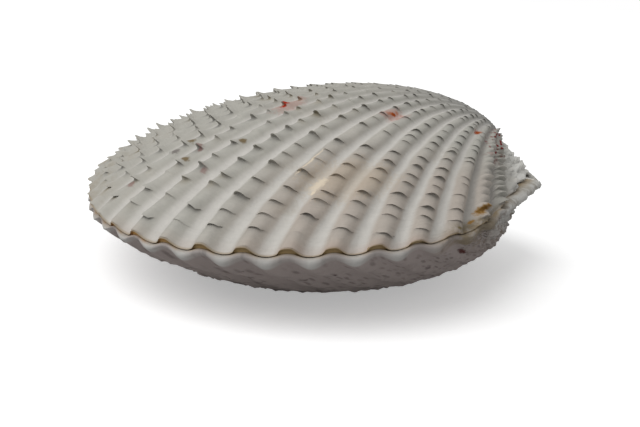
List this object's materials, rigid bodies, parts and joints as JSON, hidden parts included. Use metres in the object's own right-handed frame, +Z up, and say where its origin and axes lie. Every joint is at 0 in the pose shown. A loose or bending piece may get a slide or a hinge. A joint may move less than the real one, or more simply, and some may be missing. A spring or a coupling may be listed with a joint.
{
  "type": "file clam shell",
  "caption": "Closed white bivalve shell with scaly radial ribs, small hinge ears and interlocking wavy margins; a display or decoration piece that lies on one valve.",
  "frame": {"origin": "middle of the underside, on the table", "axes": "+X towards the hinge and beaks, -X towards the ventral end, +Z up through the upper valve"},
  "size_m": [0.0758, 0.0664, 0.0285],
  "materials": {
    "shell": "matt, chalky",
    "ligament": "dry, satin"
  },
  "bodies": {
    "root": {"upper_valve": "shell", "lower_valve": "shell", "ligament": "ligament"}
  },
  "joints": []
}
